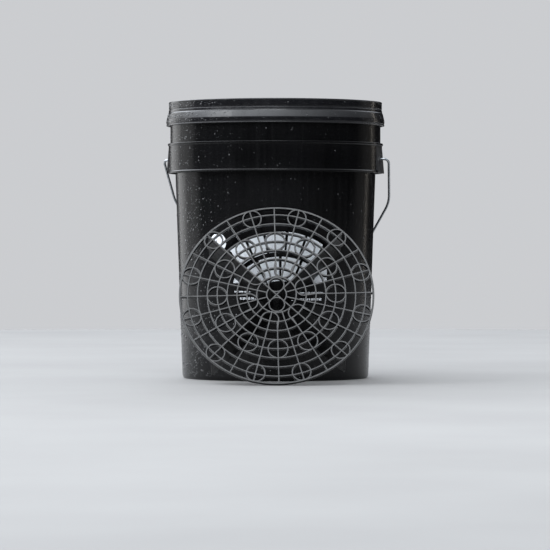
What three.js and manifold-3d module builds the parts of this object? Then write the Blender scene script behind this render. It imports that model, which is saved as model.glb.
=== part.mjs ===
// A twenty-litre wash bucket: moulded shell, press-on adapter ring, screw lid, wire bail, and the
// dirt guard that leans on its front. Millimetres, +Z up, front at -Y.
// The origin is the centre of the shell's underside, on the floor.

import * as THREE from 'three';
import { mergeVertices } from 'three/addons/utils/BufferGeometryUtils.js';
import Module from 'manifold-3d';

const wasm = await Module();
wasm.setup();

// ---------------------------------------------------------------- driving dimensions

const AROUND = 40; // flats round a large turned piece
const GAP = 0.3; // clearance between pieces that touch

// shell
const FOOT_RADIUS = 130; // outer wall radius at floor level
const WALL_FLARE = 0.035; // growth of that radius for each millimetre of height
const WALL = 2.2;
const FOOT_WIDTH = 11;
const FOOT_HEIGHT = 3;
const FOOT_CHAMFER = 3; // height of the slope between the foot and the wall
const CENTRE_PAD_RADIUS = 22;
const COLLAR_BOTTOM = 286;
const COLLAR_TOP = 327.5;
const COLLAR_RADIUS = 149.4;
const COLLAR_SKIN = 1.6;
const COLLAR_WEB = COLLAR_TOP - 3; // underside of the web that joins the collar to the wall
const COLLAR_LIP = 1.1; // how far the collar's two edge beads stand proud
const NECK_RADIUS = 147;
const NECK_INNER = NECK_RADIUS - 2.5;
const RIM_TOP = 378;
const RIM_RADIUS = NECK_RADIUS - 0.4;
const RIM_BEAD_RADIUS = 150.2;
const RIM_BEAD_BOTTOM = 359;
const RIM_BEAD_TOP = 366;

// bail ears, one at each end of the bail's axis
const BAIL_TURN = THREE.MathUtils.degToRad(-10); // the bail's axis, turned from +X about +Z
const EAR_HEIGHT = 306;
const EAR_HALF_WIDTH = 29;
const EAR_FACE_TOP = 146.4; // distance from the bucket's axis to the ear's flat face
const EAR_FACE_BOTTOM = 149.8;
const EAR_SKIN = 3;
const EAR_CHEEK = 2.5; // thickness of the ear's two side walls
const EAR_HOLE_RADIUS = 2.6;
const EAR_HOLE_START = 141.6; // just outside the shell's wall

// adapter ring
const RING_TOP = 385;
const RING_BOTTOM = 352;
const RING_RADIUS = 152.5;
const RING_SHOULDER_BOTTOM = 361.5;
const RING_SHOULDER_TOP = 372;
const RING_CROWN_RADIUS = 149;
const RING_SKIN = 1.6;
const RING_CROWN_SKIN = 2;
const RING_CATCH_RADIUS = 148.8; // the inner lip that holds the ring under the rim bead
const RING_CATCH_TOP = 356;
const PLUG_OUTER = NECK_INNER - 0.5; // the plug wall lines the shell's mouth
const PLUG_THICKNESS = 2;
const PLUG_BOTTOM = 362;
const SEAT_RADIUS = 137.9;
const SEAT_HEIGHT = 377;
const THROAT_RADIUS = 129.5;
const THROAT_BOTTOM = 350;
const THROAT_THICKNESS = 2.2;

// screw lid
const LID_TOP = 384;
const LID_BOTTOM = 353;
const LID_FLANGE_RADIUS = 136.9;
const LID_FLANGE_THICKNESS = 3.2;
const LID_THREAD_RADIUS = 126;
const LID_RECESS_RADIUS = 123.5;
const LID_FLOOR_TOP = 360.5;
const LID_FLOOR_THICKNESS = 2.5;
const LID_BAR_WIDTH = 10;
const LID_BAR_TOP = 382;
const LID_HUB_RADIUS = 20;
const LID_SEAL_RADIUS = 133;
const LID_SEAL_THICKNESS = 3.2;

// bail, measured in its own plane: across from the middle, and out from the ears' axis
const WIRE_RADIUS = 1.7;
const WIRE_SIDES = 8;
const WIRE_START = 142.5;
const BAIL_HALF_WIDTH = 160.2;
const BAIL_KNEE_OUT = 79; // the arms turn inward this far out
const BAIL_KNEE_ACROSS = 153.6;
const BAIL_CORNER_ACROSS = 76;
const BAIL_REACH = 227; // out from the ears' axis to the middle of the grip
const BAIL_REST_TILT = THREE.MathUtils.degToRad(40.6); // hanging back from straight down
const GRIP_LENGTH = 108;
const GRIP_RADIUS = 12;
const GRIP_FLANGE_RADIUS = 14;
const GRIP_BORE_RADIUS = 2.3;
const GRIP_SIDES = 20;

// dirt guard, in its own plane: a round grid with four deep vanes behind it
const GUARD_RADIUS = 130.7;
const GUARD_PITCH = 13.22; // from one ring to the next
const GUARD_RINGS = 9;
const GUARD_SPOKES = 24;
const GUARD_RIB = 2.1; // rib width
const GUARD_RIM_RIB = 2.6;
const GUARD_THICKNESS = 5;
const GUARD_DEPTH = 62; // front face to the vanes' far edge
const FINGER_HOLE_OFFSET = 1.1 * GUARD_PITCH;
const FINGER_HOLE_RADIUS = 0.7 * GUARD_PITCH;
const FINGER_HOLE_SIDES = 16;
const FINGER_SPOKE_START = 1.9 * GUARD_PITCH; // spokes that end on a finger ring
const VANE_INNER = 8;
const VANE_OUTER = 126.4;
const VANE_THICKNESS = 2.4;
const VANE_CHAMFER = 3;
const GUARD_LEAN = THREE.MathUtils.degToRad(26); // back from upright
const GUARD_ROLL = THREE.MathUtils.degToRad(1.4);
const GUARD_SIDE = 1.5; // X of the middle of the grid's front face
const GUARD_FRONT = -205.1; // Y of the middle of the grid's front face

// ---------------------------------------------------------------- helpers

// A closed solid that can be joined and cut, from any closed geometry.
function toSolid(geometry) {
  const bare = geometry.clone();
  bare.deleteAttribute('normal');
  bare.deleteAttribute('uv');
  const merged = mergeVertices(bare, 1e-4);
  const index = merged.index.array;
  const triangles = [];
  for (let i = 0; i < index.length; i += 3) {
    const [a, b, c] = [index[i], index[i + 1], index[i + 2]];
    if (a !== b && b !== c && c !== a) {
      triangles.push(a, b, c);
    }
  }
  const mesh = new wasm.Mesh({
    numProp: 3,
    vertProperties: Float32Array.from(merged.attributes.position.array),
    triVerts: Uint32Array.from(triangles),
  });
  return new wasm.Manifold(mesh);
}

// What was joined becomes one surface, so that its flat faces lose their inner edges.
function toGeometry(solid) {
  const mesh = solid.asOriginal().simplify().getMesh();
  const geometry = new THREE.BufferGeometry();
  geometry.setAttribute('position', new THREE.BufferAttribute(mesh.vertProperties, 3));
  geometry.setIndex(new THREE.BufferAttribute(mesh.triVerts, 1));
  geometry.computeVertexNormals();
  return geometry;
}

function joined(geometries) {
  return geometries.map(toSolid).reduce((whole, piece) => whole.add(piece));
}

// A solid of revolution about Z from [radius, height] points.
function turned(profile, around = AROUND) {
  const points = profile.map(([radius, height]) => new THREE.Vector2(radius, height));
  return new THREE.LatheGeometry(points, around).rotateX(Math.PI / 2);
}

// A flat ring about Z.
function flatRing(inner, outer, low, high, around = AROUND) {
  return turned([[inner, low], [outer, low], [outer, high], [inner, high], [inner, low]], around);
}

function cylinder(radius, low, high, around) {
  return turned([[0, low], [radius, low], [radius, high], [0, high]], around);
}

function box(low, high) {
  const size = high.map((value, i) => value - low[i]);
  const middle = high.map((value, i) => (value + low[i]) / 2);
  return new THREE.BoxGeometry(...size).translate(...middle);
}

// A prism whose outline is given as [x, z] points, between two values of Y.
function prism(outline, fromY, toY) {
  const shape = new THREE.Shape(outline.map(([x, z]) => new THREE.Vector2(x, z)));
  const geometry = new THREE.ExtrudeGeometry(shape, { depth: toY - fromY, bevelEnabled: false });
  return geometry.rotateX(Math.PI / 2).translate(0, toY, 0);
}

function part(name, geometry, color, roughness, metalness = 0) {
  const material = new THREE.MeshStandardMaterial({ color, roughness, metalness });
  const mesh = new THREE.Mesh(geometry, material);
  mesh.name = name;
  return mesh;
}

// ---------------------------------------------------------------- shell

function wallRadius(height) {
  return FOOT_RADIUS + WALL_FLARE * height;
}

function shellProfile() {
  const footOuter = FOOT_RADIUS - 2;
  const footInner = footOuter - FOOT_WIDTH;
  const floorTop = FOOT_HEIGHT + WALL;
  const cornerTop = floorTop + 4;
  const collarInner = COLLAR_RADIUS - COLLAR_SKIN;
  const lipRadius = COLLAR_RADIUS + COLLAR_LIP;
  const underside = [
    [0, 0], [CENTRE_PAD_RADIUS, 0], [CENTRE_PAD_RADIUS, FOOT_HEIGHT],
    [footInner, FOOT_HEIGHT], [footInner, 0], [footOuter, 0], [wallRadius(FOOT_CHAMFER), FOOT_CHAMFER],
  ];
  const collar = [
    [wallRadius(COLLAR_WEB), COLLAR_WEB], [collarInner, COLLAR_WEB], [collarInner, COLLAR_BOTTOM],
    [lipRadius, COLLAR_BOTTOM], [lipRadius, COLLAR_BOTTOM + 2.4], [COLLAR_RADIUS, COLLAR_BOTTOM + 3],
    [COLLAR_RADIUS, COLLAR_WEB], [lipRadius, COLLAR_WEB + 0.6], [lipRadius, COLLAR_TOP],
  ];
  const rim = [
    [NECK_RADIUS, COLLAR_TOP], [NECK_RADIUS, RIM_BEAD_BOTTOM], [RIM_BEAD_RADIUS, RIM_BEAD_BOTTOM + 1],
    [RIM_BEAD_RADIUS, RIM_BEAD_TOP - 3], [RIM_RADIUS, RIM_BEAD_TOP], [RIM_RADIUS, RIM_TOP],
    [NECK_INNER, RIM_TOP],
  ];
  const inside = [
    [NECK_INNER, COLLAR_TOP + 3], [wallRadius(COLLAR_WEB) - WALL, COLLAR_WEB - 4],
    [wallRadius(cornerTop) - WALL, cornerTop], [wallRadius(0) - WALL - 4, floorTop],
    [0, floorTop],
  ];
  return [...underside, ...collar, ...rim, ...inside];
}

// The flat face of an ear leans outward to its lower edge.
function earOutline(thickness, low, high) {
  const slope = (EAR_FACE_BOTTOM - EAR_FACE_TOP) / (COLLAR_TOP - COLLAR_BOTTOM);
  const face = (height) => EAR_FACE_BOTTOM - slope * (height - COLLAR_BOTTOM);
  return [
    [face(low) - thickness, low], [face(low), low], [face(high), high], [face(high) - thickness, high],
  ];
}

function ear() {
  const top = COLLAR_WEB + 1;
  const cheekRoot = 136;
  const [, lowFace, highFace] = earOutline(0, COLLAR_BOTTOM, top);
  const cheek = [[cheekRoot, COLLAR_BOTTOM], lowFace, highFace, [cheekRoot, top]];
  const face = prism(earOutline(EAR_SKIN, COLLAR_BOTTOM, top), -EAR_HALF_WIDTH, EAR_HALF_WIDTH);
  const nearCheek = prism(cheek, -EAR_HALF_WIDTH, EAR_CHEEK - EAR_HALF_WIDTH);
  const farCheek = prism(cheek, EAR_HALF_WIDTH - EAR_CHEEK, EAR_HALF_WIDTH);
  return joined([face, nearCheek, farCheek]);
}

// The space in front of an ear's face, where the round collar is cut away.
function earCut() {
  const outside = EAR_FACE_BOTTOM + 10;
  const [, lowFace, highFace] = earOutline(0, COLLAR_BOTTOM - 1, COLLAR_WEB);
  const outline = [lowFace, [outside, COLLAR_BOTTOM - 1], [outside, COLLAR_WEB], highFace];
  return toSolid(prism(outline, -EAR_HALF_WIDTH, EAR_HALF_WIDTH));
}

function earHole() {
  const bore = cylinder(EAR_HOLE_RADIUS, EAR_HOLE_START, EAR_FACE_BOTTOM + 5, 12);
  return toSolid(bore.rotateY(Math.PI / 2).translate(0, 0, EAR_HEIGHT));
}

function shellGeometry() {
  const toDegrees = THREE.MathUtils.radToDeg;
  let shell = toSolid(turned(shellProfile()));
  for (const turn of [BAIL_TURN, BAIL_TURN + Math.PI]) {
    const placed = (solid) => solid.rotate([0, 0, toDegrees(turn)]);
    shell = shell.subtract(placed(earCut())).add(placed(ear())).subtract(placed(earHole()));
  }
  return toGeometry(shell);
}

// ---------------------------------------------------------------- adapter ring and its gasket

// Outside: a crown, a sloping shoulder and a skirt that catches under the shell's rim bead.
// Inside: the lid's seat, the throat, and a plug wall that lines the shell's mouth.
function adapterRingGeometry() {
  const crownUnderside = RING_TOP - 2.7;
  const crownInner = RING_CROWN_RADIUS - RING_CROWN_SKIN;
  const skirtInner = RING_RADIUS - RING_SKIN;
  const seatUnderside = SEAT_HEIGHT - THROAT_THICKNESS;
  const seatWall = SEAT_RADIUS + THROAT_THICKNESS;
  const throatWall = THROAT_RADIUS + THROAT_THICKNESS;
  const plugInner = PLUG_OUTER - PLUG_THICKNESS;
  return turned([
    [RING_CATCH_RADIUS, RING_BOTTOM], [RING_RADIUS, RING_BOTTOM], [RING_RADIUS, RING_SHOULDER_BOTTOM],
    [RING_CROWN_RADIUS, RING_SHOULDER_TOP], [RING_CROWN_RADIUS, RING_TOP - 1],
    [RING_CROWN_RADIUS - 1, RING_TOP], [SEAT_RADIUS, RING_TOP], [SEAT_RADIUS, SEAT_HEIGHT],
    [THROAT_RADIUS, SEAT_HEIGHT], [THROAT_RADIUS, THROAT_BOTTOM], [throatWall, THROAT_BOTTOM],
    [throatWall, seatUnderside], [seatWall, seatUnderside], [seatWall, crownUnderside],
    [plugInner, crownUnderside], [plugInner, PLUG_BOTTOM], [PLUG_OUTER, PLUG_BOTTOM],
    [PLUG_OUTER, crownUnderside - 0.8], [crownInner, crownUnderside - 0.8],
    [crownInner, RING_SHOULDER_TOP + 0.6], [skirtInner, RING_SHOULDER_BOTTOM + 1],
    [skirtInner, RING_CATCH_TOP + 1.6], [RING_CATCH_RADIUS, RING_CATCH_TOP],
    [RING_CATCH_RADIUS, RING_BOTTOM],
  ]);
}

function ringGasketGeometry() {
  const top = RING_TOP - 3.5 - GAP;
  return flatRing(NECK_INNER + 0.2, RIM_RADIUS, RIM_TOP + GAP, top);
}

// ---------------------------------------------------------------- screw lid and its seal

function lidGeometry() {
  const flangeBottom = LID_TOP - LID_FLANGE_THICKNESS;
  const floorBottom = LID_FLOOR_TOP - LID_FLOOR_THICKNESS;
  const barRoot = LID_FLOOR_TOP - 1;
  const barHalf = LID_RECESS_RADIUS + 0.5;
  const halfWidth = LID_BAR_WIDTH / 2;
  const cup = turned([
    [0, floorBottom], [LID_RECESS_RADIUS, floorBottom], [LID_RECESS_RADIUS, LID_BOTTOM],
    [LID_THREAD_RADIUS, LID_BOTTOM], [LID_THREAD_RADIUS, flangeBottom],
    [LID_FLANGE_RADIUS, flangeBottom], [LID_FLANGE_RADIUS, LID_TOP - 0.8],
    [LID_FLANGE_RADIUS - 0.8, LID_TOP], [LID_RECESS_RADIUS, LID_TOP],
    [LID_RECESS_RADIUS, LID_FLOOR_TOP], [0, LID_FLOOR_TOP],
  ]);
  const barAlongX = box([-barHalf, -halfWidth, barRoot], [barHalf, halfWidth, LID_BAR_TOP]);
  const barAlongY = box([-halfWidth, -barHalf, barRoot], [halfWidth, barHalf, LID_BAR_TOP]);
  const hub = cylinder(LID_HUB_RADIUS, barRoot, LID_BAR_TOP, 24);
  return toGeometry(joined([cup, barAlongX, barAlongY, hub]));
}

function lidSealGeometry() {
  const half = LID_SEAL_THICKNESS / 2;
  const middle = SEAT_HEIGHT + GAP + half;
  const section = [];
  for (let i = 0; i <= 6; i++) {
    const angle = (i / 6 + 1 / 12) * 2 * Math.PI;
    section.push([LID_SEAL_RADIUS + half * Math.cos(angle), middle + half * Math.sin(angle)]);
  }
  return turned(section);
}

// ---------------------------------------------------------------- bail

// A path through a list of points, sampled at those points alone.
class PointPath extends THREE.Curve {
  constructor(points) {
    super();
    this.points = points;
  }

  getUtoTmapping(u) {
    return u;
  }

  getPoint(t) {
    const place = t * (this.points.length - 1);
    const i = Math.min(Math.floor(place), this.points.length - 2);
    return this.points[i].clone().lerp(this.points[i + 1], place - i);
  }

  getTangent(t) {
    const i = Math.round(t * (this.points.length - 1));
    const before = this.points[Math.max(i - 1, 0)];
    const here = this.points[i];
    const after = this.points[Math.min(i + 1, this.points.length - 1)];
    const arriving = here.clone().sub(before).normalize();
    const leaving = after.clone().sub(here).normalize();
    return arriving.add(leaving).normalize();
  }
}

// Points round one corner, on a curve that leaves the two straights `reach` from the corner.
function corner([before, at, after], reach, steps) {
  const start = at.clone().add(before.clone().sub(at).setLength(reach));
  const end = at.clone().add(after.clone().sub(at).setLength(reach));
  return new THREE.QuadraticBezierCurve3(start, at, end).getPoints(steps);
}

// The bail's plane: X runs along the ears' axis, and -Z runs out to the grip.
function bailPoints() {
  const place = (across, out) => new THREE.Vector3(across, 0, -out);
  const end = place(WIRE_START, 0);
  const elbow = place(BAIL_HALF_WIDTH, 0);
  const knee = place(BAIL_KNEE_ACROSS, BAIL_KNEE_OUT);
  const shoulder = place(BAIL_CORNER_ACROSS, BAIL_REACH);
  const middle = place(0, BAIL_REACH);
  const half = [
    end,
    ...corner([end, elbow, knee], 6, 4),
    ...corner([elbow, knee, shoulder], 14, 4),
    ...corner([knee, shoulder, middle], 18, 6),
    middle,
  ];
  const mirrored = half.slice(0, -1).reverse().map((point) => point.clone().setX(-point.x));
  return [...half, ...mirrored];
}

function wireGeometry() {
  const points = bailPoints();
  const section = new THREE.Shape();
  for (let i = 0; i < WIRE_SIDES; i++) {
    const angle = (i / WIRE_SIDES) * 2 * Math.PI;
    const step = i === 0 ? 'moveTo' : 'lineTo';
    section[step](WIRE_RADIUS * Math.cos(angle), WIRE_RADIUS * Math.sin(angle));
  }
  const settings = { steps: points.length - 1, extrudePath: new PointPath(points) };
  return new THREE.ExtrudeGeometry(section, settings);
}

// A hollow moulded handle with a swollen middle and a flange at each end.
function gripGeometry() {
  const half = GRIP_LENGTH / 2;
  const barrel = [];
  for (let i = 0; i <= 6; i++) {
    const along = -1 + (2 * i) / 6;
    barrel.push([GRIP_RADIUS - 1.6 * along * along, along * (half - 5)]);
  }
  const profile = [
    [GRIP_BORE_RADIUS, -half], [GRIP_FLANGE_RADIUS, -half], [GRIP_FLANGE_RADIUS, 3 - half],
    ...barrel,
    [GRIP_FLANGE_RADIUS, half - 3], [GRIP_FLANGE_RADIUS, half], [GRIP_BORE_RADIUS, half],
    [GRIP_BORE_RADIUS, -half],
  ];
  return turned(profile, GRIP_SIDES).rotateY(Math.PI / 2).translate(0, 0, -BAIL_REACH);
}

function bail() {
  const group = new THREE.Group();
  group.add(part('bail_wire', wireGeometry(), 0xb9bdc2, 0.35, 1));
  group.add(part('bail_grip', gripGeometry(), 0x141416, 0.55));
  group.rotation.order = 'ZXY';
  group.rotation.set(BAIL_REST_TILT, 0, BAIL_TURN);
  group.position.z = EAR_HEIGHT;
  return group;
}

// ---------------------------------------------------------------- dirt guard

// The grid's front face is at Z = 0 in the guard's own frame, facing +Z.
function rib(inner, outer, angle, width) {
  const bar = box([inner, -width / 2, -GUARD_THICKNESS], [outer, width / 2, 0]);
  return bar.rotateZ(angle);
}

// The four diagonals meet at the centre, the rest stop at an inner ring or a finger ring.
function spokeStart(step) {
  const degrees = (step * 360) / GUARD_SPOKES;
  const fromHorizontal = Math.abs(((degrees + 90) % 180) - 90);
  if (fromHorizontal === 45) {
    return 0;
  }
  if (fromHorizontal === 15) {
    return GUARD_PITCH;
  }
  return fromHorizontal === 75 || degrees === 90 ? FINGER_SPOKE_START : 3 * GUARD_PITCH;
}

function ringAt(radius, width, around) {
  return flatRing(radius - width / 2, radius + width / 2, -GUARD_THICKNESS, 0, around);
}

function guardGridGeometry() {
  const pieces = [ringAt(GUARD_RADIUS - GUARD_RIM_RIB / 2, GUARD_RIM_RIB, 2 * GUARD_SPOKES)];
  for (let ring = 1; ring <= GUARD_RINGS; ring++) {
    pieces.push(ringAt(ring * GUARD_PITCH, GUARD_RIB, GUARD_SPOKES));
  }
  for (let step = 0; step < GUARD_SPOKES; step++) {
    const angle = (step * 2 * Math.PI) / GUARD_SPOKES;
    pieces.push(rib(spokeStart(step), GUARD_RADIUS - GUARD_RIM_RIB / 2, angle, GUARD_RIB));
  }
  const fingerRing = ringAt(FINGER_HOLE_RADIUS + GUARD_RIB / 2, GUARD_RIB, FINGER_HOLE_SIDES);
  const fingerHole = cylinder(FINGER_HOLE_RADIUS, -2 * GUARD_THICKNESS, GUARD_THICKNESS, FINGER_HOLE_SIDES);
  const above = [0, FINGER_HOLE_OFFSET, 0];
  const below = [0, -FINGER_HOLE_OFFSET, 0];
  pieces.push(fingerRing.clone().translate(...above), fingerRing.clone().translate(...below));
  const holes = joined([fingerHole.clone().translate(...above), fingerHole.clone().translate(...below)]);
  return toGeometry(joined(pieces).subtract(holes));
}

function vaneGeometry(angle) {
  const top = -GUARD_THICKNESS - GAP;
  const outline = [
    [VANE_INNER, -GUARD_DEPTH], [VANE_OUTER - VANE_CHAMFER, -GUARD_DEPTH],
    [VANE_OUTER, VANE_CHAMFER - GUARD_DEPTH], [VANE_OUTER, top], [VANE_INNER, top],
  ];
  return prism(outline, -VANE_THICKNESS / 2, VANE_THICKNESS / 2).rotateZ(angle);
}

function dirtGuard() {
  const group = new THREE.Group();
  group.add(part('guard_grid', guardGridGeometry(), 0x1b1b1d, 0.5));
  for (let corner = 0; corner < 4; corner++) {
    const angle = Math.PI / 4 + (corner * Math.PI) / 2;
    group.add(part(`guard_vane_${corner + 1}`, vaneGeometry(angle), 0x1b1b1d, 0.5));
  }
  const lowestPoint = GUARD_RADIUS * Math.cos(GUARD_LEAN) + GUARD_THICKNESS * Math.sin(GUARD_LEAN);
  group.rotation.set(Math.PI / 2 - GUARD_LEAN, 0, GUARD_ROLL);
  group.position.set(GUARD_SIDE, GUARD_FRONT, lowestPoint);
  return group;
}

// ---------------------------------------------------------------- assembly

const washBucket = new THREE.Group();
washBucket.add(part('bucket_shell', shellGeometry(), 0x0d0d0f, 0.3));
washBucket.add(part('adapter_ring', adapterRingGeometry(), 0x111113, 0.35));
washBucket.add(part('ring_gasket', ringGasketGeometry(), 0x2a2a2a, 0.9));
washBucket.add(part('screw_lid', lidGeometry(), 0x111113, 0.35));
washBucket.add(part('lid_seal', lidSealGeometry(), 0x2a2a2a, 0.9));
washBucket.add(bail());
washBucket.add(dirtGuard());

export default washBucket;
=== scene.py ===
"""A twenty-litre wash bucket with a screw lid and a dirt guard leaning on its front.

Shapes are written in millimetres about the bucket's axis and turned into metres when a mesh is made.
"""

import math
import random

import bmesh
import bpy
from mathutils import Matrix, Vector


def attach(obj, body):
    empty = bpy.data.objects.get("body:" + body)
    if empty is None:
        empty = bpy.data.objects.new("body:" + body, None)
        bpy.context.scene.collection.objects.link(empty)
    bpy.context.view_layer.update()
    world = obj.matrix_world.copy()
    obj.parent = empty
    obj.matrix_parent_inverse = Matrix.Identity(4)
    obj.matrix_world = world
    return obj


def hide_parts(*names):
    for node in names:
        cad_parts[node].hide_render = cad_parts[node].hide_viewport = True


MM = 0.001
AROUND = 240  # columns round a large turned piece
SHARP_ANGLE = math.radians(32)

# shell
FOOT_RADIUS = 130
WALL_FLARE = 0.035
WALL = 2.2
FOOT_HEIGHT = 3
FOOT_RING_INNER = 117
FOOT_RING_OUTER = 128
CENTRE_PAD_RADIUS = 22
COLLAR_BOTTOM = 286
COLLAR_WEB = 324.5
COLLAR_TOP = 327.5
COLLAR_RADIUS = 149.4
COLLAR_INNER = 147.8
COLLAR_LIP_RADIUS = 150.5
NECK_RADIUS = 147
NECK_INNER = 144.5
RIM_RADIUS = 146.6
RIM_TOP = 378
RIM_BEAD_RADIUS = 150.2
GUSSET_START = 139.6  # inside the wall

# bail ears, one at each end of the bail's axis
BAIL_TURN = math.radians(-10)
EAR_HEIGHT = 306
EAR_HALF_WIDTH = 29
EAR_FACE_BOTTOM = 149.8
EAR_FACE_SLOPE = (EAR_FACE_BOTTOM - 146.4) / (COLLAR_TOP - COLLAR_BOTTOM)
EAR_SKIN = 3
EAR_CHEEK_START = 138.5  # inside the wall
EAR_HOLE_RADIUS = 2.6
EAR_CLEARANCE = math.radians(14)  # round each ear, free of gussets and beads

# adapter ring
RING_BOTTOM = 352
RING_TOP = 385
RING_RADIUS = 152.5
RING_SHOULDER_BOTTOM = 359.9
RING_SHOULDER_TOP = 369.2
RING_SHOULDER_RADIUS = 150.3  # at the shoulder's top
RING_SHOULDER_SLOPE = (RING_RADIUS - RING_SHOULDER_RADIUS) / (RING_SHOULDER_TOP - RING_SHOULDER_BOTTOM)
RING_CROWN_RADIUS = 149.0
PLUG_BOTTOM = 362
SEAT_RADIUS = 137.9
SEAT_HEIGHT = 377
THROAT_RADIUS = 129.5
THROAT_BOTTOM = 350

# screw lid
LID_TOP = 384
LID_BOTTOM = 353
LID_FLANGE_RADIUS = 136.9
LID_FLANGE_BOTTOM = 380.8
LID_WALL_RADIUS = 126
LID_RECESS_RADIUS = 123.5
LID_FLOOR = 360.5
LID_FLOOR_UNDERSIDE = 358
LID_BAR_TOP = 382
LID_BAR_WIDTH = 10.4
LID_HUB_RADIUS = 20.8

# bail, in its own plane
WIRE_RADIUS = 1.7
WIRE_START = 142.5
BAIL_HALF_WIDTH = 160.2
BAIL_KNEE_OUT = 79
BAIL_KNEE_ACROSS = 153.6
BAIL_CORNER_ACROSS = 76
BAIL_REACH = 227
BAIL_REST_TILT = math.radians(40.6)
HOOK_BEND = 9.5  # how far from each corner its curve begins
KNEE_BEND = 14
CORNER_BEND = 18
GRIP_LENGTH = 108
GRIP_RADIUS = 12
GRIP_FLANGE_RADIUS = 14
GRIP_BORE = 2.3

# dirt guard, in its own plane
GUARD_RADIUS = 130.7
GUARD_PITCH = 13.22
GUARD_RIB = 2.1
GUARD_RIM_RIB = 2.6
GUARD_THICKNESS = 5
GUARD_DEPTH = 62
GUARD_LEAN = math.radians(26)
GUARD_ROLL = math.radians(1.4)
GUARD_PLACE = (
    1.5,
    -205.1,
    GUARD_RADIUS * math.cos(GUARD_LEAN) + GUARD_THICKNESS * math.sin(GUARD_LEAN),
)

VANE_INNER = 8
VANE_OUTER = 126.4
VANE_CHAMFER = 3
SMALL_CIRCLE = 0.93 * GUARD_PITCH  # radius of the circles round the rim
FINGER_RING_OFFSET = 1.1 * GUARD_PITCH
FINGER_RING_RADIUS = 0.78 * GUARD_PITCH
FINGER_HOLE_RADIUS = 0.71 * GUARD_PITCH

# printed mark and water
MARK_SEED = 5
MARK_MIDDLE = 165  # the height at which the mark's width is true
MARK_COLUMN = 3  # width of the columns that bend it round the wall
INK_PROUD = 0.12
INK_SUNK = 0.3
BEAD_SEED = 11
BEAD_COUNT = 4200

FLOOR_RADIUS = 2700


# ---------------------------------------------------------------- mesh helpers


def rounded(corners, steps=4):
    """Points of an outline from (radius, height, fillet) corners, each fillet a short curve."""
    points = []
    count = len(corners)
    for i, (radius, height, fillet) in enumerate(corners):
        here = Vector((radius, height))
        if fillet == 0:
            points.append(here)
            continue
        before = Vector(corners[i - 1][:2]) - here
        after = Vector(corners[(i + 1) % count][:2]) - here
        start = here + before.normalized() * min(fillet, 0.45 * before.length)
        end = here + after.normalized() * min(fillet, 0.45 * after.length)
        for k in range(steps + 1):
            t = k / steps
            points.append(start * (1 - t) ** 2 + here * 2 * t * (1 - t) + end * t * t)
    return points


def skin(bm, rings, closed_path, closed_ring=True):
    """Faces between rows of vertices."""
    rows = len(rings)
    for i in range(rows if closed_path else rows - 1):
        a, b = rings[i], rings[(i + 1) % rows]
        for k in range(len(a) if closed_ring else len(a) - 1):
            n = (k + 1) % len(a)
            bm.faces.new((a[k], a[n], b[n], b[k]))


def lathe(bm, outline, around=AROUND, closed=True):
    """A turned solid about Z. With closed False the outline starts and ends on the axis."""
    columns = []
    for i in range(around):
        angle = 2 * math.pi * i / around
        c, s = math.cos(angle), math.sin(angle)
        columns.append([bm.verts.new((p[0] * c, p[0] * s, p[1])) for p in outline])
    skin(bm, columns, True, closed)
    bmesh.ops.remove_doubles(bm, verts=bm.verts, dist=1e-4)


def tube(bm, points, radius, across, sides=14):
    """A round bar through the points, which lie in the plane that `across` is square to."""
    rings = []
    for i, here in enumerate(points):
        before = points[max(i - 1, 0)]
        after = points[min(i + 1, len(points) - 1)]
        tangent = ((here - before).normalized() + (after - here).normalized()).normalized()
        side = tangent.cross(across).normalized()
        ring = []
        for k in range(sides):
            angle = 2 * math.pi * k / sides
            offset = side * math.cos(angle) + across * math.sin(angle)
            ring.append(bm.verts.new(here + offset * radius))
        rings.append(ring)
    skin(bm, rings, False)
    bm.faces.new(reversed(rings[0]))
    bm.faces.new(rings[-1])


def strip(bm, points, width, low, high, closed=False, chamfer=0.35, draft=0.15):
    """A rib of chamfered section along a line of flat [x, y] points, from `low` up to `high`."""
    half = width / 2
    section = [
        (-half + draft, low),
        (half - draft, low),
        (half, high - chamfer),
        (half - chamfer, high),
        (-half + chamfer, high),
        (-half, high - chamfer),
    ]
    count = len(points)
    rings = []
    for i, here in enumerate(points):
        before = points[i - 1] if closed or i > 0 else here
        after = points[(i + 1) % count] if closed or i < count - 1 else here
        arriving = (here - before).normalized() if here != before else None
        leaving = (after - here).normalized() if after != here else None
        arriving = arriving or leaving
        leaving = leaving or arriving
        tangent = (arriving + leaving).normalized()
        side = Vector((-tangent.y, tangent.x)) / max(tangent.dot(leaving), 0.5)
        rings.append([bm.verts.new((here.x + side.x * s, here.y + side.y * s, z)) for s, z in section])
    skin(bm, rings, closed)
    if not closed:
        bm.faces.new(reversed(rings[0]))
        bm.faces.new(rings[-1])


def circle_points(centre, radius, count):
    turn = 2 * math.pi / count
    return [
        Vector((centre.x + radius * math.cos(i * turn), centre.y + radius * math.sin(i * turn)))
        for i in range(count)
    ]


def pin(bm, radius, length, sides, place):
    bmesh.ops.create_cone(
        bm, cap_ends=True, segments=sides, radius1=radius, radius2=radius, depth=length, matrix=place
    )


def block(bm, low, high, turn=None):
    size = [(b - a) for a, b in zip(low, high)]
    middle = [(a + b) / 2 for a, b in zip(low, high)]
    place = Matrix.Translation(middle) @ Matrix.Diagonal((*size, 1))
    bmesh.ops.create_cube(bm, size=1, matrix=(turn or Matrix()) @ place)


def finished(name, bm, place=None, sharp=SHARP_ANGLE):
    """The mesh object of what was built in millimetres, moved to its place and scaled to metres."""
    bmesh.ops.recalc_face_normals(bm, faces=bm.faces)
    mesh = bpy.data.meshes.new(name)
    bm.to_mesh(mesh)
    bm.free()
    mesh.transform(Matrix.Scale(MM, 4) @ (place or Matrix()))
    mesh.shade_smooth()
    mesh.set_sharp_from_angle(angle=sharp)
    obj = bpy.data.objects.new(name, mesh)
    bpy.context.scene.collection.objects.link(obj)
    return obj


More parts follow.
